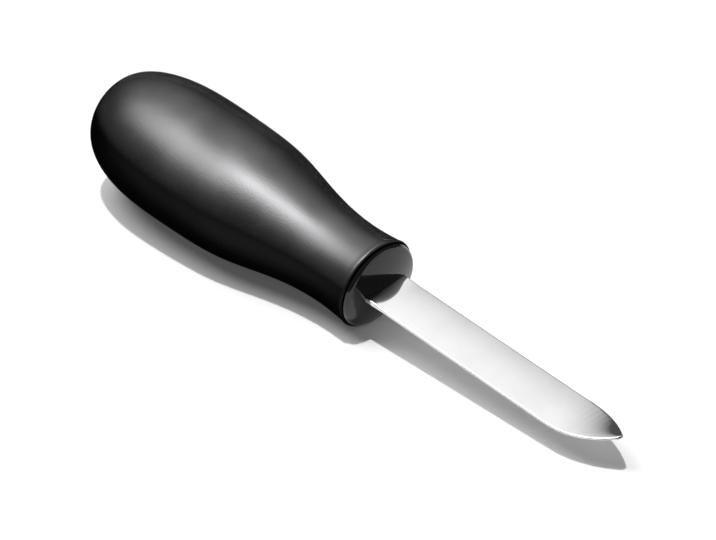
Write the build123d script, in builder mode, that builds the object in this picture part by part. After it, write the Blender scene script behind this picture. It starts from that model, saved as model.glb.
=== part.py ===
from build123d import *
import math
import os

# Oyster knife with a short stiff blade and a soft bulb handle, in millimetres.
# It is modelled as it lies on a table: on the belly of the handle and on the
# front of it, so the blade points a little downwards.

# Whole knife, measured along the handle's axis from the butt
overall_length = 171.5
grip_length = 92.8
collar_length = 3.0
collar_gap = 0.4

# Soft grip
belly_width = 37.3
grip_wall = 3.0
butt_wall = 4.0
mouth_round = 0.6
fit_gap = 0.12
rest_flat = 0.25

# Outline of the grip in plan, from the butt to the mouth: shares of its length
# and of its half width
outline_shares = (
    (0.0, 0.0),
    (0.03, 0.549),
    (0.12, 0.847),
    (0.27, 0.990),
    (0.41, 0.997),
    (0.56, 0.942),
    (0.72, 0.7515),
    (0.87, 0.6395),
    (1.0, 0.660),
)
# Direction of the outline where it leaves the mouth
mouth_flare_share = 0.1
# Depth of a section beside its width: round at the ends, oval at the belly
butt_depth_share = 1.0
belly_depth_share = 0.84
mouth_depth_share = 0.96
belly_place_share = 0.42
# Sections of the grip, as shares of the way along the outline
section_shares = (0.012, 0.04, 0.09, 0.16, 0.25, 0.35, 0.46, 0.57, 0.68, 0.79, 0.9, 1.0)
waist_share = 0.9

# Blade
blade_width = 13.5
blade_thickness = 1.5
blade_rise = 0.45
edge_round = 0.42
spear_length = 16.5
point_radius = 1.2
ricasso = 0.8
bend_length = 20.0
bend_rise = 3.45
heel_thickness = 1.25
tip_thickness = 0.9

# Tang, the part of the blade inside the handle
tang_length = 66.0
tang_width = 9.0
tang_corner = 2.5
shoulder_depth = 5.0
tang_clearance = 0.1

# Hard core with the glossy collar at its front, in two half shells
core_wall = 1.8
rib_thickness = 1.6
rib_count = 4
nose_length = 22.0
collar_inset = 0.6
face_plan_radius = 35.0
face_side_radius = 23.0
collar_round = 1.3

# Dowel pins through the tang
pin_diameter = 4.0
pin_length = 13.0
pin_wall = 2.0
pin_chamfer = 0.4
pin_clearance = 0.03
pin_setbacks = (28.7, 52.7)

# Locating pegs between the half shells
peg_diameter = 2.6
peg_height = 3.0
peg_wall = 1.5
peg_clearance = 0.1
peg_round = 0.4
peg_shares = (0.32, 0.76)
peg_spread = 16.5

# All cuts run past the faces by this much
overrun = 2.0

# The half shells meet under the tang, which lies flat on the lower one
seam_height = blade_rise - blade_thickness / 2
tip_height = blade_rise + bend_rise
collar_start = grip_length + collar_gap
collar_face = collar_start + collar_length
nose_start = collar_face - nose_length
pin_places = [collar_face - setback for setback in pin_setbacks]
peg_places = [share * nose_start for share in peg_shares]
half_blade = blade_width / 2
half_tang = tang_width / 2
tang_start = collar_face - tang_length
heel_start = collar_face - shoulder_depth
bend_start = overall_length - bend_length
spear_start = overall_length - spear_length
# The two arcs of the spear would meet a little past the rounded point
spear_arc = (spear_length**2 + half_blade**2) / (2 * half_blade)
spear_angle = math.acos((spear_arc - half_blade) / spear_arc)
spear_apex = overall_length + point_radius * (1 / math.sin(spear_angle) - 1)
taper_start = collar_face + ricasso
mouth_width = outline_shares[-1][1] * belly_width
collar_width = mouth_width - 2 * collar_inset
collar_depth = mouth_depth_share * mouth_width - 2 * collar_inset

# The grip's outline in plan; every section of the grip and of the core follows it
with BuildLine() as outline:
    Spline(
        *[(place * grip_length, wide * belly_width / 2) for place, wide in outline_shares],
        tangents=((0, 1), (1, mouth_flare_share)),
        tangent_scalars=(1, 1),
    )


def outline_point(share):
    point = outline.edge() @ share
    return point.X / grip_length, 2 * point.Y / belly_width


def depth_share(place):
    if place < belly_place_share:
        end_share = butt_depth_share
        away = 1 - place / belly_place_share
    else:
        end_share = mouth_depth_share
        away = (place - belly_place_share) / (1 - belly_place_share)
    return belly_depth_share + (end_share - belly_depth_share) * away**2


# Resting attitude: the nose drops until the belly and the front of the handle,
# which is the grip's mouth or the collar's rim, are at the same level
outline_steps = 400
outline_points = [outline_point(step / outline_steps) for step in range(outline_steps + 1)]
under_points = [
    (place * grip_length, wide * depth_share(place) * belly_width / 2)
    for place, wide in outline_points
]
mouth_half_depth = under_points[-1][1]
rim_level = collar_depth / 2 - collar_round
rim_setback = math.sqrt((face_side_radius - collar_round) ** 2 - rim_level**2)
rim_centre = collar_face - face_side_radius + rim_setback
mouth_centre = grip_length - mouth_round
mouth_level = mouth_half_depth - mouth_round


def belly_reach(tilt):
    return max(
        place * math.sin(tilt) + deep * math.cos(tilt)
        for place, deep in under_points
        if place < waist_share * grip_length
    )


def butt_reach(tilt):
    return min(
        place * math.cos(tilt) - deep * math.sin(tilt) for place, deep in under_points
    )


def front_reach(tilt):
    return max(
        rim_centre * math.sin(tilt) + rim_level * math.cos(tilt) + collar_round,
        mouth_centre * math.sin(tilt) + mouth_level * math.cos(tilt) + mouth_round,
    )


def resting_tilt():
    level, steep = 0.0, math.pi / 6
    while steep - level > 1e-9:
        middle = (level + steep) / 2
        if front_reach(middle) > belly_reach(middle):
            steep = middle
        else:
            level = middle
    return level


tilt = resting_tilt()
tip_reach = overall_length * math.cos(tilt) + tip_height * math.sin(tilt)

# The knife's own frame: X from butt to tip, Y across the blade, Z out of its
# upper face, with the axis height that puts the knife on the table, where the
# soft grip is pressed flat by a little
knife = Plane(
    origin=(-(butt_reach(tilt) + tip_reach) / 2, 0, belly_reach(tilt) - rest_flat),
    x_dir=(math.cos(tilt), 0, -math.sin(tilt)),
    z_dir=(math.sin(tilt), 0, math.cos(tilt)),
)
side = Plane(origin=knife.origin, x_dir=knife.x_dir, z_dir=-knife.y_dir)
seam = knife.offset(seam_height)
lengthwise = Axis(knife.origin, knife.x_dir)
crosswise = Axis(knife.origin, knife.y_dir)
upright = Axis(knife.origin, knife.z_dir)


def section(station):
    return Plane(
        origin=knife.from_local_coords(Vector(station, 0, 0)),
        x_dir=knife.y_dir,
        z_dir=knife.x_dir,
    )


def bulb_sections(start, end, width):
    sections = []
    for share in section_shares:
        place, wide = outline_point(share)
        with BuildSketch(section(start + place * (end - start))) as profile:
            Ellipse(wide * width / 2, wide * depth_share(place) * width / 2)
        sections.append(profile.sketch.face())
    return sections


# Blade with its tang: the side view gives the taper and the bend of the tip,
# the plan view the spear point, and the long edges are rounded all round
with BuildPart() as blade:
    with BuildSketch(side):
        with BuildLine():
            upper = Polyline(
                (heel_start, blade_rise + blade_thickness / 2),
                (taper_start, blade_rise + blade_thickness / 2),
                (bend_start, blade_rise + heel_thickness / 2),
            )
            upper_bend = TangentArc(
                upper @ 1,
                (overall_length, tip_height + tip_thickness / 2),
                tangent=upper % 1,
            )
            upper_end = Line(upper_bend @ 1, upper_bend @ 1 + (upper_bend % 1) * overrun)
            lower = Polyline(
                (heel_start, blade_rise - blade_thickness / 2),
                (taper_start, blade_rise - blade_thickness / 2),
                (bend_start, blade_rise - heel_thickness / 2),
            )
            lower_bend = TangentArc(
                lower @ 1,
                (overall_length, tip_height - tip_thickness / 2),
                tangent=lower % 1,
            )
            lower_end = Line(lower_bend @ 1, lower_bend @ 1 + (lower_bend % 1) * overrun)
            Line(upper_end @ 1, lower_end @ 1)
            Line(upper @ 0, lower @ 0)
        make_face()
    extrude(amount=half_blade + overrun, both=True)
    with BuildSketch(knife):
        with BuildLine():
            edge = Polyline(
                (heel_start, 0),
                (heel_start, half_blade),
                (spear_start, half_blade),
            )
            TangentArc(edge @ 1, (spear_apex, 0), tangent=edge % 1)
            mirror(about=Plane.XZ)
        blade_plan = make_face()
        fillet(blade_plan.vertices().sort_by(Axis.X)[-1], radius=point_radius)
    extrude(amount=tip_height + blade_thickness + overrun, both=True, mode=Mode.INTERSECT)
    long_edges = blade.edges().filter_by(upright, reverse=True).filter_by(crosswise, reverse=True)
    fillet(long_edges, radius=edge_round)
    with BuildSketch(seam):
        with BuildLine():
            tang = Polyline(
                (heel_start, 0),
                (heel_start, half_tang),
                (tang_start, half_tang),
                (tang_start, 0),
            )
            mirror(about=Plane.XZ)
        tang_face = make_face()
        fillet(tang_face.vertices().group_by(Axis.X)[0], radius=tang_corner)
        with Locations(*[(place, 0) for place in pin_places]):
            Circle(pin_diameter / 2 + pin_clearance, mode=Mode.SUBTRACT)
    extrude(amount=blade_thickness)
blade.part.label = "blade"

# Outer form of the hard core: the grip's shape drawn in by its wall, with the
# collar in front of the grip's mouth. The collar's face bulges, more in the side
# view than in plan, so its arc is turned about an upright axis behind it; the
# profile lies beyond that axis, which keeps the solid's seam out of the face
with BuildPart() as core_form:
    with BuildSketch(section(collar_start - overrun)):
        Ellipse(collar_width / 2, collar_depth / 2)
    extrude(amount=collar_length + 2 * overrun)
    with BuildSketch(side):
        with BuildLine():
            rim = collar_depth / 2 + overrun
            bow = face_side_radius - math.sqrt(face_side_radius**2 - rim**2)
            face_turn = collar_face - face_plan_radius
            far_side = face_turn - face_plan_radius
            face = ThreePointArc(
                (far_side + bow, -rim),
                (far_side, 0),
                (far_side + bow, rim),
            )
            Polyline(face @ 1, (face_turn, rim), (face_turn, -rim), face @ 0)
        make_face()
    revolve(axis=Axis(section(face_turn).origin, knife.z_dir), mode=Mode.INTERSECT)
    front = core_form.faces().sort_by(lengthwise)[-1]
    fillet(front.edges(), radius=collar_round)
    split(bisect_by=section(collar_start), keep=Keep.TOP)
    loft(
        bulb_sections(
            butt_wall,
            collar_start,
            belly_width - 2 * grip_wall,
        )
    )

# Room for the tang, a little wider than it and as deep as it is thick
with BuildPart() as tang_room:
    with BuildSketch(seam):
        with BuildLine():
            room = Polyline(
                (tang_start - tang_clearance, 0),
                (tang_start - tang_clearance, half_tang + tang_clearance),
                (heel_start - tang_clearance, half_tang + tang_clearance),
                (heel_start - tang_clearance, half_blade + tang_clearance),
                (collar_face + overrun, half_blade + tang_clearance),
                (collar_face + overrun, 0),
            )
            mirror(about=Plane.XZ)
        make_face()
    extrude(amount=blade_thickness + tang_clearance)

# Hollows of the core between its outer wall, its ribs and its bosses, with a
# solid nose at the neck
with BuildPart() as core_hollow:
    loft(
        bulb_sections(
            butt_wall + core_wall,
            collar_start,
            belly_width - 2 * grip_wall - 2 * core_wall,
        )
    )
    with BuildSketch(section(nose_start)):
        Rectangle(belly_width, belly_width)
    extrude(amount=nose_length + overrun, mode=Mode.SUBTRACT)
    rib_step = (nose_start - butt_wall) / (rib_count + 1)
    for rib in range(rib_count):
        with BuildSketch(section(butt_wall + (rib + 1) * rib_step)):
            Rectangle(belly_width, belly_width)
        extrude(amount=rib_thickness / 2, both=True, mode=Mode.SUBTRACT)
    with BuildSketch(knife):
        for wall in (-1, 1):
            with Locations((nose_start / 2, wall * (half_tang + rib_thickness / 2))):
                Rectangle(nose_start, rib_thickness)
        with Locations(*[(place, 0) for place in pin_places]):
            Circle(pin_diameter / 2 + pin_wall)
        for place in peg_places:
            with Locations((place, peg_spread / 2), (place, -peg_spread / 2)):
                Circle(peg_diameter / 2 + peg_wall)
    extrude(amount=belly_width / 2, both=True, mode=Mode.SUBTRACT)

# Dowel pins, square to the tang
with BuildPart() as tang_pins:
    with BuildSketch(knife.offset(blade_rise - pin_length / 2)):
        with Locations(*[(place, 0) for place in pin_places]):
            Circle(pin_diameter / 2)
    extrude(amount=pin_length)
    pin_ends = tang_pins.edges().filter_by(GeomType.CIRCLE)
    chamfer(pin_ends, length=pin_chamfer)
tang_pins.part.label = "tang_pins"

# Blind holes that the dowels are pressed into
with BuildPart() as pin_holes:
    with BuildSketch(knife.offset(blade_rise - pin_length / 2 - pin_clearance)):
        with Locations(*[(place, 0) for place in pin_places]):
            Circle(pin_diameter / 2 + pin_clearance)
    extrude(amount=pin_length + 2 * pin_clearance)

# The whole core before it is parted into its half shells
with BuildPart() as core_whole:
    add(core_form.part)
    add(core_hollow.part, mode=Mode.SUBTRACT)
    add(pin_holes.part, mode=Mode.SUBTRACT)

# Lower half shell: flat under the tang, with the locating pegs
with BuildPart() as core_lower:
    add(core_whole.part)
    split(bisect_by=seam, keep=Keep.BOTTOM)
    with BuildSketch(seam):
        for place in peg_places:
            with Locations((place, peg_spread / 2), (place, -peg_spread / 2)):
                Circle(peg_diameter / 2)
    extrude(amount=peg_height)
    peg_tops = core_lower.faces().filter_by(seam).sort_by(upright)
    fillet(peg_tops[-4:].edges(), radius=peg_round)
core_lower.part.label = "core_lower"

# Upper half shell: the pocket for the tang and the sockets for the pegs
with BuildPart() as core_upper:
    add(core_whole.part)
    split(bisect_by=seam, keep=Keep.TOP)
    add(tang_room.part, mode=Mode.SUBTRACT)
    with BuildSketch(seam):
        for place in peg_places:
            with Locations((place, peg_spread / 2), (place, -peg_spread / 2)):
                Circle(peg_diameter / 2 + peg_clearance)
    extrude(amount=peg_height + peg_clearance, mode=Mode.SUBTRACT)
core_upper.part.label = "core_upper"

# Soft grip, one moulding over the core, open at the neck and flat where it rests
with BuildPart() as soft_grip:
    loft(bulb_sections(0, grip_length, belly_width))
    mouth = soft_grip.faces().sort_by(lengthwise)[-1]
    fillet(mouth.edges(), radius=mouth_round)
    loft(
        bulb_sections(
            butt_wall - fit_gap,
            collar_start,
            belly_width - 2 * grip_wall + 2 * fit_gap,
        ),
        mode=Mode.SUBTRACT,
    )
    split(bisect_by=Plane.XY, keep=Keep.TOP)
soft_grip.part.label = "soft_grip"

os.makedirs("parts", exist_ok=True)
export_step(blade.part, "parts/blade.step")
export_step(tang_pins.part, "parts/tang_pins.step")
export_step(core_lower.part, "parts/core_lower.step")
export_step(core_upper.part, "parts/core_upper.step")
export_step(soft_grip.part, "parts/soft_grip.step")

print("resting tilt in degrees", round(math.degrees(tilt), 3))
for piece in (blade, tang_pins, core_lower, core_upper, soft_grip):
    print(piece.part.label, round(piece.part.volume, 1), piece.part.is_valid)
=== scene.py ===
import math

import bmesh
import bpy
import numpy as np
from mathutils import Matrix, Vector


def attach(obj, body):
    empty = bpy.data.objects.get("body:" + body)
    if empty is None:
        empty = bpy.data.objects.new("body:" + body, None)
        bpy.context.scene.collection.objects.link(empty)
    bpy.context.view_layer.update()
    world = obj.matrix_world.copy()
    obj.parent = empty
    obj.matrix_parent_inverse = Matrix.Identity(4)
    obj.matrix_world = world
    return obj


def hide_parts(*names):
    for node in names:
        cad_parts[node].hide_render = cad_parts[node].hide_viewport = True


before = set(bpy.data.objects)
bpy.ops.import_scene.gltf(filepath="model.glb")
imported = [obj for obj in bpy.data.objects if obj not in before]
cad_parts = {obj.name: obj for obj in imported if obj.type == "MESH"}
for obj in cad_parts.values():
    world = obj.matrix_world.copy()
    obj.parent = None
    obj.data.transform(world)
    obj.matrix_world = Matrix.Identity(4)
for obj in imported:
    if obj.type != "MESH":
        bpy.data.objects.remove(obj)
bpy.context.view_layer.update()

mm = 0.001
print("frame loaded, nodes:", ", ".join(sorted(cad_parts)))

# The knife lies with its nose down, so its own axes are tilted against the floor's
knifeFrame = {
    "origin": (-85.6044, 0.0, 18.6853),     # butt end of the handle's axis, mm
    "dip": 4.449,                           # degrees
}
dip = math.radians(knifeFrame["dip"])
alongAxis = Vector((math.cos(dip), 0.0, -math.sin(dip)))
acrossAxis = Vector((0.0, 1.0, 0.0))
aboveAxis = Vector((math.sin(dip), 0.0, math.cos(dip)))
knifeOrigin = Vector(knifeFrame["origin"])


def knifePoint(along, across, above):
    return (knifeOrigin + alongAxis * along + acrossAxis * across + aboveAxis * above) * mm


# node helpers


def newGroup(name, inputs, outputs):
    group = bpy.data.node_groups.new(name, "ShaderNodeTree")
    for label, kind, value in inputs:
        socket = group.interface.new_socket(label, in_out="INPUT", socket_type=kind)
        socket.default_value = value
    for label, kind in outputs:
        group.interface.new_socket(label, in_out="OUTPUT", socket_type=kind)
    start = group.nodes.new("NodeGroupInput")
    end = group.nodes.new("NodeGroupOutput")
    return group, start, end


def addNode(tree, kind, values=None, **settings):
    node = tree.nodes.new(kind)
    for key, value in settings.items():
        setattr(node, key, value)
    for key, value in (values or {}).items():
        node.inputs[key].default_value = value
    return node


def mathNode(tree, operation, first, second=None, clamp=False):
    node = addNode(tree, "ShaderNodeMath", operation=operation, use_clamp=clamp)
    for slot, value in ((0, first), (1, second)):
        if value is None:
            continue
        if isinstance(value, (int, float)):
            node.inputs[slot].default_value = value
        else:
            tree.links.new(value, node.inputs[slot])
    return node.outputs[0]


def useGroup(tree, group, **values):
    node = tree.nodes.new("ShaderNodeGroup")
    node.node_tree = group
    for key, value in values.items():
        node.inputs[key].default_value = value
    return node


# Fine pebble and broad patches of a moulded surface, in object space
def makeFineGrain():
    group, start, end = newGroup(
        "fineGrain",
        [("Size", "NodeSocketFloat", 0.0004), ("Patch", "NodeSocketFloat", 0.012)],
        [("Height", "NodeSocketFloat"), ("Patches", "NodeSocketFloat")],
    )
    place = addNode(group, "ShaderNodeTexCoord")
    fineScale = mathNode(group, "DIVIDE", 1.0, start.outputs["Size"])
    patchScale = mathNode(group, "DIVIDE", 1.0, start.outputs["Patch"])
    fine = addNode(group, "ShaderNodeTexNoise", {"Detail": 3.0, "Roughness": 0.6})
    patches = addNode(group, "ShaderNodeTexNoise", {"Detail": 2.0, "Roughness": 0.5})
    for noise, scale in ((fine, fineScale), (patches, patchScale)):
        group.links.new(place.outputs["Object"], noise.inputs["Vector"])
        group.links.new(scale, noise.inputs["Scale"])
    group.links.new(fine.outputs["Fac"], end.inputs["Height"])
    group.links.new(patches.outputs["Fac"], end.inputs["Patches"])
    return group


# Lines left by a belt: long in one direction of the knife, fine across it
def makeGrindLines():
    group, start, end = newGroup(
        "grindLines",
        [("Pitch", "NodeSocketFloat", 0.00025), ("Stretch", "NodeSocketFloat", 40.0)],
        [("Height", "NodeSocketFloat"), ("Cloud", "NodeSocketFloat")],
    )
    place = addNode(group, "ShaderNodeTexCoord")
    turned = addNode(group, "ShaderNodeMapping", {"Rotation": (0.0, -dip, 0.0)})
    group.links.new(place.outputs["Object"], turned.inputs["Vector"])
    parts = addNode(group, "ShaderNodeSeparateXYZ")
    group.links.new(turned.outputs["Vector"], parts.inputs["Vector"])
    joined = addNode(group, "ShaderNodeCombineXYZ")
    long = mathNode(group, "DIVIDE", parts.outputs["X"], start.outputs["Stretch"])
    group.links.new(long, joined.inputs["X"])
    group.links.new(parts.outputs["Y"], joined.inputs["Y"])
    group.links.new(parts.outputs["Z"], joined.inputs["Z"])
    scale = mathNode(group, "DIVIDE", 1.0, start.outputs["Pitch"])
    lines = addNode(group, "ShaderNodeTexNoise", {"Detail": 4.0, "Roughness": 0.65})
    group.links.new(joined.outputs["Vector"], lines.inputs["Vector"])
    group.links.new(scale, lines.inputs["Scale"])
    cloud = addNode(group, "ShaderNodeTexNoise", {"Scale": 90.0, "Detail": 3.0, "Roughness": 0.55})
    group.links.new(place.outputs["Object"], cloud.inputs["Vector"])
    group.links.new(lines.outputs["Fac"], end.inputs["Height"])
    group.links.new(cloud.outputs["Fac"], end.inputs["Cloud"])
    return group


# A thin band round a level above or below the knife's axis, such as a moulding seam
def makeSeamBand():
    group, start, end = newGroup(
        "seamBand",
        [("Level", "NodeSocketFloat", 0.0), ("Half Width", "NodeSocketFloat", 0.0001)],
        [("Mask", "NodeSocketFloat")],
    )
    place = addNode(group, "ShaderNodeTexCoord")
    along = addNode(group, "ShaderNodeVectorMath", operation="DOT_PRODUCT")
    along.inputs[1].default_value = aboveAxis
    group.links.new(place.outputs["Object"], along.inputs[0])
    centre = aboveAxis.dot(knifeOrigin) * mm
    above = mathNode(group, "SUBTRACT", along.outputs["Value"], centre)
    away = mathNode(group, "ABSOLUTE", mathNode(group, "SUBTRACT", above, start.outputs["Level"]))
    near = mathNode(group, "DIVIDE", away, start.outputs["Half Width"])
    mask = mathNode(group, "SUBTRACT", 1.0, near, clamp=True)
    group.links.new(mask, end.inputs["Mask"])
    return group


# How far a face looks up from the knife's sides, from 0 to 1, which decides where the grip's painted shade
# on its sides turns into painted highlight on its top
def makePaintedShadeAndHighlight():
    group, start, end = newGroup(
        "paintedShadeAndHighlight",
        [("From", "NodeSocketFloat", 0.0), ("To", "NodeSocketFloat", 1.0)],
        [("Mask", "NodeSocketFloat")],
    )
    place = addNode(group, "ShaderNodeTexCoord")
    facing = addNode(group, "ShaderNodeVectorMath", operation="DOT_PRODUCT")
    facing.inputs[1].default_value = aboveAxis
    group.links.new(place.outputs["Normal"], facing.inputs[0])
    ramp = addNode(group, "ShaderNodeMapRange", interpolation_type="SMOOTHSTEP")
    group.links.new(facing.outputs["Value"], ramp.inputs["Value"])
    group.links.new(start.outputs["From"], ramp.inputs["From Min"])
    group.links.new(start.outputs["To"], ramp.inputs["From Max"])
    group.links.new(ramp.outputs["Result"], end.inputs["Mask"])
    return group


fineGrain = makeFineGrain()
paintedShadeAndHighlight = makePaintedShadeAndHighlight()
grindLines = makeGrindLines()
seamBand = makeSeamBand()
print("shared effects made")


def newMaterial(name):
    material = bpy.data.materials.new(name)
    material.use_nodes = True
    tree = material.node_tree
    shader = tree.nodes["Principled BSDF"]
    return material, tree, shader


# Where the broad patches of a surface begin and end, in the noise's own values
patchLimits = {
    "value": (0.3, 0.7),
    "colour": (0.35, 0.65),
}


def rampBetween(tree, mask, low, high):
    node = addNode(tree, "ShaderNodeMapRange")
    node.inputs["From Min"].default_value, node.inputs["From Max"].default_value = patchLimits["value"]
    node.inputs["To Min"].default_value = low
    node.inputs["To Max"].default_value = high
    tree.links.new(mask, node.inputs["Value"])
    return node.outputs["Result"]


def colourBetween(tree, mask, first, second):
    node = addNode(tree, "ShaderNodeValToRGB")
    for stop, position, colour in zip(node.color_ramp.elements, patchLimits["colour"], (first, second)):
        stop.position = position
        stop.color = (*colour, 1.0)
    tree.links.new(mask, node.inputs["Fac"])
    return node.outputs["Color"]


def addBump(tree, shader, height, distance, strength=1.0, under=None):
    node = addNode(tree, "ShaderNodeBump", {"Strength": strength, "Distance": distance})
    tree.links.new(height, node.inputs["Height"])
    if under is not None:
        tree.links.new(under, node.inputs["Normal"])
    tree.links.new(node.outputs["Normal"], shader.inputs["Normal"])
    return node.outputs["Normal"]


# soft grip

softGrip = {
    "length": 92.8,
    "width": 37.3,
    "outline": (
        (0.0, 0.0), (0.03, 0.549), (0.12, 0.847), (0.27, 0.990), (0.41, 0.997),
        (0.56, 0.942), (0.72, 0.7515), (0.87, 0.6395), (1.0, 0.660),
    ),
    "flare": 0.1,
    "depthShares": (1.0, 0.84, 0.96),       # at the butt, the belly and the mouth
    "bellyPlace": 0.42,
    "mouthRound": 0.6,
    "wall": 2.88,
    "buttWall": 3.88,
    "stations": 120,
    "crowding": 0.35,                       # how much closer the stations stand near the butt
    "around": 144,
    "lipSteps": 6,
    "lipEdge": 0.1,
    "lipDrop": 0.15,
    "leastInside": 2.0,                     # the inside ends where it would be narrower
    "insideFrom": 1.0,                      # and this far in front of the butt's wall
    "insideEvery": 3,
    "insideEnd": 5.0,
    # The two upper colours, with random worn patches, are also a painted highlight, lighter than the bare
    # rubber; the side colour is painted shade.
    "colour": (0.105, 0.105, 0.107),
    "colourWorn": (0.128, 0.128, 0.130),
    "paintedShadeColour": (0.012, 0.012, 0.0122),
    "paintedShadeUpTo": (0.33, 0.68),               # how far up a face looks where the sides end
    "roughness": (0.40, 0.45),
    "patchSize": 0.011,
    "grainSize": 0.00050,
    "grainDepth": 0.000030,
}


def smoothOutline(points, startDirection, endDirection):
    # cubic through the points, by the lengths of the chords between them
    points = np.array(points, float)
    steps = np.hypot(*np.diff(points, axis=0).T)
    count = len(points)
    matrix = np.zeros((count, count))
    right = np.zeros((count, 2))
    matrix[0, 0] = matrix[-1, -1] = 1.0
    right[0] = np.array(startDirection) / np.hypot(*startDirection)
    right[-1] = np.array(endDirection) / np.hypot(*endDirection)
    for i in range(1, count - 1):
        before, after = steps[i - 1], steps[i]
        matrix[i, i - 1] = after
        matrix[i, i] = 2.0 * (before + after)
        matrix[i, i + 1] = before
        right[i] = 3.0 * (
            after * (points[i] - points[i - 1]) / before
            + before * (points[i + 1] - points[i]) / after
        )
    slopes = np.linalg.solve(matrix, right)
    places = np.concatenate(([0.0], np.cumsum(steps)))

    def at(place):
        i = int(min(max(np.searchsorted(places, place) - 1, 0), count - 2))
        t = (place - places[i]) / steps[i]
        a = (1 + 2 * t) * (1 - t) ** 2
        b = t * (1 - t) ** 2
        c = t * t * (3 - 2 * t)
        d = t * t * (t - 1)
        return (
            a * points[i] + b * steps[i] * slopes[i]
            + c * points[i + 1] + d * steps[i] * slopes[i + 1]
        )

    return at, places[-1]


def depthShare(share):
    butt, belly, mouth = softGrip["depthShares"]
    place = softGrip["bellyPlace"]
    if share < place:
        return belly + (butt - belly) * (1 - share / place) ** 2
    return belly + (mouth - belly) * ((share - place) / (1 - place)) ** 2


def gripRings():
    # (station, half width, half depth) along the outside, round the lip and back inside
    half = softGrip["width"] / 2
    length = softGrip["length"]
    at, total = smoothOutline(
        [(a * length, b * half) for a, b in softGrip["outline"]], (0, 1), (1, softGrip["flare"])
    )
    rings = []
    count = softGrip["stations"]
    for i in range(1, count + 1):
        share = i / count
        crowding = softGrip["crowding"]
        place = total * (crowding * share**2 + (1 - crowding) * share) if share < 1 else total
        x, wide = at(place)
        rings.append((x, wide, wide * depthShare(x / length)))
    lip, lipSteps = softGrip["mouthRound"], softGrip["lipSteps"]
    mouthWide, mouthDeep = rings[-1][1], rings[-1][2]
    rings = [ring for ring in rings if ring[0] < length - lip]
    for i in range(lipSteps + 1):
        angle = math.pi / 2 * i / lipSteps
        drop = lip * (1 - math.cos(angle))
        rings.append((length - lip + lip * math.sin(angle), mouthWide - drop, mouthDeep - drop))
    wall = softGrip["wall"]
    insideStart = softGrip["buttWall"] + softGrip["insideFrom"]
    inner = [
        (x, wide - wall, deep - wall)
        for x, wide, deep in rings
        if insideStart < x < length - lip and wide > wall + softGrip["leastInside"]
    ]
    inner = inner[::-softGrip["insideEvery"]]
    wide, deep = inner[0][1], inner[0][2]
    rings.append((length, wide + softGrip["lipEdge"], deep + softGrip["lipEdge"]))
    return rings + [(length - softGrip["lipDrop"], wide, deep)] + inner


def ringMesh(name, rings, around, closeStart=None, closeEnd=None):
    mesh = bpy.data.meshes.new(name)
    bm = bmesh.new()
    loops = []
    for x, wide, deep in rings:
        loop = []
        for j in range(around):
            angle = 2 * math.pi * j / around
            point = knifePoint(x, wide * math.cos(angle), deep * math.sin(angle))
            point.z = max(point.z, 0.0)     # flat where the grip rests
            loop.append(bm.verts.new(point))
        loops.append(loop)
    for first, second in zip(loops, loops[1:]):
        for j in range(around):
            k = (j + 1) % around
            bm.faces.new((first[j], first[k], second[k], second[j]))
    for place, loop in ((closeStart, loops[0]), (closeEnd, loops[-1])):
        if place is None:
            continue
        pole = bm.verts.new(knifePoint(place, 0, 0))
        for j in range(around):
            bm.faces.new((loop[j], loop[(j + 1) % around], pole))
    bmesh.ops.recalc_face_normals(bm, faces=bm.faces)
    for face in bm.faces:
        face.smooth = True
    bm.to_mesh(mesh)
    bm.free()
    piece = bpy.data.objects.new(name, mesh)
    bpy.context.scene.collection.objects.link(piece)
    return piece


# Sockets of a colour Mix node, whose names repeat for its other data types
mixSockets = {"factor": 0, "first": 6, "second": 7, "result": 2}


def makeGripRubber():
    material, tree, shader = newMaterial("satinGripRubber")
    grain = useGroup(tree, fineGrain, Size=softGrip["grainSize"], Patch=softGrip["patchSize"])
    patches = grain.outputs["Patches"]
    colour = colourBetween(tree, patches, softGrip["colour"], softGrip["colourWorn"])
    # Painted shade and highlight: darker on the sides and lighter where it looks up, standing for how the
    # light falls
    paintedShadeAndHighlightMask = useGroup(tree, paintedShadeAndHighlight, From=softGrip["paintedShadeUpTo"][0], To=softGrip["paintedShadeUpTo"][1])
    paintedShadeAndHighlightMix = addNode(tree, "ShaderNodeMix", data_type="RGBA")
    paintedShadeAndHighlightMix.inputs[mixSockets["first"]].default_value = (*softGrip["paintedShadeColour"], 1.0)
    tree.links.new(paintedShadeAndHighlightMask.outputs["Mask"], paintedShadeAndHighlightMix.inputs[mixSockets["factor"]])
    tree.links.new(colour, paintedShadeAndHighlightMix.inputs[mixSockets["second"]])
    tree.links.new(paintedShadeAndHighlightMix.outputs[mixSockets["result"]], shader.inputs["Base Color"])
    tree.links.new(rampBetween(tree, patches, *softGrip["roughness"]), shader.inputs["Roughness"])
    # Shaded as a dark metal, so that the sides stay dark at a low angle too
    shader.inputs["Metallic"].default_value = 1.0
    shader.inputs["Specular Tint"].default_value = (0.0, 0.0, 0.0, 1.0)
    addBump(tree, shader, grain.outputs["Height"], softGrip["grainDepth"])
    return material


gripPiece = ringMesh(
    "softGrip", gripRings(), softGrip["around"], closeStart=0.0, closeEnd=softGrip["insideEnd"]
)
gripPiece.data.materials.append(makeGripRubber())
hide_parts("soft_grip")
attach(gripPiece, "root")
print("soft grip made:", len(gripPiece.data.vertices), "points")

# handle core and collar

handleCore = {
    "colour": (0.0045, 0.0045, 0.0048),
    "colourHaze": (0.0065, 0.0065, 0.0068),
    "roughness": (0.07, 0.11),
    "waveSize": 0.0011,
    "waveDepth": 0.0000008,
    "patchSize": 0.006,
    "seamLevel": -0.0003,
    "seamHalfWidth": 0.00007,
    "seamDepth": 0.00003,
}


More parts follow.
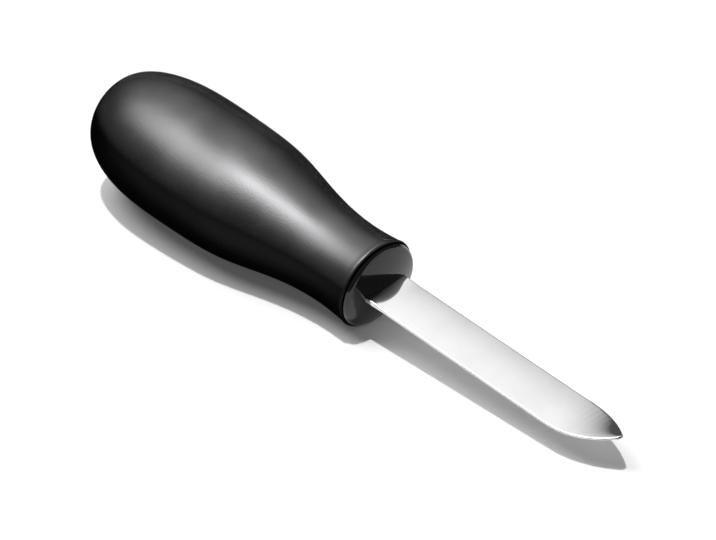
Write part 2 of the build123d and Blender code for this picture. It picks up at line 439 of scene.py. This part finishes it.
def makeCorePlastic():
    material, tree, shader = newMaterial("polishedCorePlastic")
    grain = useGroup(tree, fineGrain, Size=handleCore["waveSize"], Patch=handleCore["patchSize"])
    patches = grain.outputs["Patches"]
    colour = colourBetween(tree, patches, handleCore["colour"], handleCore["colourHaze"])
    tree.links.new(colour, shader.inputs["Base Color"])
    tree.links.new(rampBetween(tree, patches, *handleCore["roughness"]), shader.inputs["Roughness"])
    seam = useGroup(tree, seamBand, Level=handleCore["seamLevel"])
    seam.inputs["Half Width"].default_value = handleCore["seamHalfWidth"]
    sunk = mathNode(tree, "SUBTRACT", 1.0, seam.outputs["Mask"])
    wavy = addNode(tree, "ShaderNodeBump", {"Strength": 1.0, "Distance": handleCore["waveDepth"]})
    tree.links.new(grain.outputs["Height"], wavy.inputs["Height"])
    addBump(tree, shader, sunk, handleCore["seamDepth"], under=wavy.outputs["Normal"])
    return material


# blade and pins

shuckingBlade = {
    "collarFace": 96.2,
    "rise": 0.45,
    "halfWidth": 6.75,
    "bendStart": 151.5,
    "bendLength": 20.0,
    "bendRise": 3.45,
    "spearStart": 155.0,
    "spearArc": 24.81,
    "leastHalf": 1.0,
    "crown": 0.36,              # share of the thickness that is ground off at the long edges
    "crownFrom": 0.6,           # the grinding runs out towards the collar
    "crownOver": 4.0,
    "flare": 0.02,              # a little wider at the bend than at the collar
    "rows": 28,
    "columns": 60,
    "cutsPastSpear": 16.0,
    "mergeWithin": 0.001,
    "sharpAngle": 40.0,
    "colour": (0.72, 0.72, 0.725),
    "colourCloud": (0.77, 0.765, 0.765),
    "roughness": (0.06, 0.09),
    "lineStretch": 40.0,
    "linePitch": 0.00030,
    "lineDepth": 0.0000010,
}

tangPins = {
    "colour": (0.52, 0.52, 0.53),
    "colourCloud": (0.60, 0.60, 0.61),
    "roughness": (0.28, 0.38),
    "lineStretch": 1.0,
    "linePitch": 0.00020,
    "lineDepth": 0.000003,
}


def makeSteel(name, settings):
    material, tree, shader = newMaterial(name)
    lines = useGroup(tree, grindLines, Pitch=settings["linePitch"], Stretch=settings["lineStretch"])
    cloud = lines.outputs["Cloud"]
    colour = colourBetween(tree, cloud, settings["colour"], settings["colourCloud"])
    tree.links.new(colour, shader.inputs["Base Color"])
    tree.links.new(rampBetween(tree, cloud, *settings["roughness"]), shader.inputs["Roughness"])
    shader.inputs["Metallic"].default_value = 1.0
    addBump(tree, shader, lines.outputs["Height"], settings["lineDepth"])
    return material


nodeFinishes = {
    "core_lower": makeCorePlastic(),
    "tang_pins": makeSteel("drawnPinSteel", tangPins),
}
nodeFinishes["core_upper"] = nodeFinishes["core_lower"]
for nodeName, finish in nodeFinishes.items():
    node = bpy.data.objects[nodeName]
    for slot in node.material_slots:
        slot.link = "OBJECT"
        slot.material = finish
print("finishes put on", ", ".join(sorted(nodeFinishes)))


def bladeMiddle(along):
    # height of the blade's mid plane above the knife's axis
    away = along - shuckingBlade["bendStart"]
    if away <= 0.0:
        return shuckingBlade["rise"]
    length, rise = shuckingBlade["bendLength"], shuckingBlade["bendRise"]
    arc = (length**2 + rise**2) / (2 * rise)
    return shuckingBlade["rise"] + arc - math.sqrt(arc**2 - away**2)


def bladeHalf(along):
    half, arc = shuckingBlade["halfWidth"], shuckingBlade["spearArc"]
    away = along - shuckingBlade["spearStart"]
    if away <= 0.0:
        return half
    return max(half - arc + math.sqrt(arc**2 - away**2), shuckingBlade["leastHalf"])


def smoothStep(value):
    value = min(max(value, 0.0), 1.0)
    return value * value * (3.0 - 2.0 * value)


def groundPoint(point):
    # the flats of the exposed blade are ground a little convex
    away = point / mm - knifeOrigin
    along, across, above = away.dot(alongAxis), away.dot(acrossAxis), away.dot(aboveAxis)
    out = along - shuckingBlade["collarFace"]
    if out <= 0.0:
        return point
    ground = smoothStep((out - shuckingBlade["crownFrom"]) / shuckingBlade["crownOver"])
    share = min(abs(across) / bladeHalf(along), 1.0)
    middle = bladeMiddle(along)
    thin = 1.0 - shuckingBlade["crown"] * ground * share**2
    straight = shuckingBlade["bendStart"] - shuckingBlade["collarFace"]
    wide = 1.0 + shuckingBlade["flare"] * out / straight
    return knifePoint(along, across * wide, middle + (above - middle) * thin)


def makeBlade():
    bm = bmesh.new()
    bm.from_mesh(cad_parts["blade"].data)
    merge = shuckingBlade["mergeWithin"] * mm
    bmesh.ops.remove_doubles(bm, verts=bm.verts, dist=merge)
    half = shuckingBlade["halfWidth"]
    first, last = shuckingBlade["collarFace"], shuckingBlade["spearStart"] + shuckingBlade["cutsPastSpear"]
    cuts = [
        (knifePoint(0, -half + 2 * half * i / shuckingBlade["rows"], 0), acrossAxis)
        for i in range(1, shuckingBlade["rows"])
    ]
    cuts += [
        (knifePoint(first + (last - first) * i / shuckingBlade["columns"], 0, 0), alongAxis)
        for i in range(shuckingBlade["columns"])
    ]
    for place, normal in cuts:
        bmesh.ops.bisect_plane(
            bm, geom=bm.verts[:] + bm.edges[:] + bm.faces[:], plane_co=place, plane_no=normal,
            dist=merge,
        )
    for vert in bm.verts:
        vert.co = groundPoint(vert.co)
    bmesh.ops.recalc_face_normals(bm, faces=bm.faces)
    sharp = math.radians(shuckingBlade["sharpAngle"])
    for face in bm.faces:
        face.smooth = True
    for edge in bm.edges:
        edge.smooth = edge.calc_face_angle(0.0) < sharp
    mesh = bpy.data.meshes.new("groundBlade")
    bm.to_mesh(mesh)
    bm.free()
    for name in ("custom_normal", "UVMap"):
        if name in mesh.attributes:
            mesh.attributes.remove(mesh.attributes[name])
    piece = bpy.data.objects.new("groundBlade", mesh)
    bpy.context.scene.collection.objects.link(piece)
    return piece


bladePiece = makeBlade()
bladePiece.data.materials.append(makeSteel("groundBladeSteel", shuckingBlade))
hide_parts("blade")
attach(bladePiece, "root")
print("blade made:", len(bladePiece.data.vertices), "points")

# floor

paleFloor = {
    "half": 4.0,
    "squares": 8,
    "colour": (0.87, 0.87, 0.87),
    "glow": 0.06,
}


def makeFloor():
    bm = bmesh.new()
    squares = paleFloor["squares"]
    bmesh.ops.create_grid(bm, x_segments=squares, y_segments=squares, size=paleFloor["half"])
    mesh = bpy.data.meshes.new("paleFloor")
    bm.to_mesh(mesh)
    bm.free()
    floor = bpy.data.objects.new("paleFloor", mesh)
    bpy.context.scene.collection.objects.link(floor)
    material, tree, shader = newMaterial("palePaper")
    shader.inputs["Base Color"].default_value = (*paleFloor["colour"], 1.0)
    shader.inputs["Roughness"].default_value = 1.0
    shader.inputs["Specular IOR Level"].default_value = 0.0
    rays = addNode(tree, "ShaderNodeLightPath")
    seen = mathNode(tree, "ADD", rays.outputs["Is Camera Ray"], rays.outputs["Is Glossy Ray"])
    seen = mathNode(tree, "ADD", seen, rays.outputs["Is Transmission Ray"], clamp=True)
    glow = mathNode(tree, "MULTIPLY", seen, paleFloor["glow"])
    shader.inputs["Emission Color"].default_value = (1.0, 1.0, 1.0, 1.0)
    tree.links.new(glow, shader.inputs["Emission Strength"])
    mesh.materials.append(material)
    return floor


makeFloor()
print("floor laid")

# lights

studioLights = {
    "target": (0.0, 0.0, 0.012),
    "key": {"towards": (-0.092, -0.090, 1.0), "distance": 1.5, "irradiance": 2.05, "angle": 2.6},
    "softbox": {"towards": (-0.42, -0.26, 0.87), "distance": 1.3, "size": 0.76, "radiance": 5.6},
    "world": 0.09,
    # brighter parts of the surroundings: direction, radiance, and the cosine where each fades out
    "glows": (
        ((-0.47, 0.46, 0.753), 1.21, 0.90),
        ((0.12, 0.60, 0.79), 0.45, 0.90),
    ),
}


def aimed(location, target):
    back = (Vector(location) - Vector(target)).normalized()
    return back.to_track_quat("Z", "Y").to_matrix().to_4x4()


def addLight(name, kind, towards, distance):
    data = bpy.data.lights.new(name, kind)
    light = bpy.data.objects.new(name, data)
    bpy.context.scene.collection.objects.link(light)
    target = Vector(studioLights["target"])
    location = target + Vector(towards).normalized() * distance
    light.matrix_world = Matrix.Translation(location) @ aimed(location, target)
    light.visible_camera = False
    return light


def addCard(name, settings):
    light = addLight(name, "AREA", settings["towards"], settings["distance"])
    light.data.shape = "DISK"
    light.data.size = settings["size"]
    area = math.pi * (settings["size"] / 2) ** 2
    light.data.energy = settings["radiance"] * math.pi * area
    return light


keyLight = addLight(
    "keyLight", "SUN", studioLights["key"]["towards"], studioLights["key"]["distance"]
)
keyLight.data.energy = studioLights["key"]["irradiance"]
keyLight.data.angle = math.radians(studioLights["key"]["angle"])
addCard("softboxLight", studioLights["softbox"])


def makeWorld():
    world = bpy.data.worlds.new("studioAir")
    world.use_nodes = True
    tree = world.node_tree
    air = tree.nodes["Background"]
    place = addNode(tree, "ShaderNodeTexCoord")
    total = studioLights["world"]
    for towards, radiance, faded in studioLights["glows"]:
        facing = addNode(tree, "ShaderNodeVectorMath", operation="DOT_PRODUCT")
        facing.inputs[1].default_value = Vector(towards).normalized()
        tree.links.new(place.outputs["Generated"], facing.inputs[0])
        lobe = addNode(tree, "ShaderNodeMapRange", {
            "From Min": faded, "From Max": 1.0, "To Min": 0.0, "To Max": radiance,
        })
        tree.links.new(facing.outputs["Value"], lobe.inputs["Value"])
        total = mathNode(tree, "ADD", lobe.outputs["Result"], total)
    air.inputs["Color"].default_value = (1.0, 1.0, 1.0, 1.0)
    tree.links.new(total, air.inputs["Strength"])
    bpy.context.scene.world = world


makeWorld()
bpy.context.scene.view_settings.view_transform = "Standard"
print("lights set")

# camera

studioCamera = {
    "azimuth": 43.495,
    "elevation": 36.346,
    "roll": 1.254,
    "distance": 960.0,
    "target": (0.052, 0.698, 11.75),
    "lens": 199.82,
    "sensor": 36.0,
    "clip": (0.01, 50.0),
}


def makeCamera():
    a = math.radians(studioCamera["azimuth"])
    e = math.radians(studioCamera["elevation"])
    back = Vector((math.sin(a) * math.cos(e), -math.cos(a) * math.cos(e), math.sin(e)))
    right = Vector((math.cos(a), math.sin(a), 0.0))
    up = back.cross(right)
    roll = math.radians(studioCamera["roll"])
    rolledRight = right * math.cos(roll) + up * math.sin(roll)
    rolledUp = up * math.cos(roll) - right * math.sin(roll)
    data = bpy.data.cameras.new("studioCamera")
    data.sensor_width = studioCamera["sensor"]
    data.lens = studioCamera["lens"]
    data.clip_start, data.clip_end = studioCamera["clip"]
    camera = bpy.data.objects.new("studioCamera", data)
    bpy.context.scene.collection.objects.link(camera)
    location = (Vector(studioCamera["target"]) + back * studioCamera["distance"]) * mm
    turn = Matrix((rolledRight, rolledUp, back)).transposed().to_4x4()
    camera.matrix_world = Matrix.Translation(location) @ turn
    bpy.context.scene.camera = camera
    return camera


makeCamera()
print("camera placed")
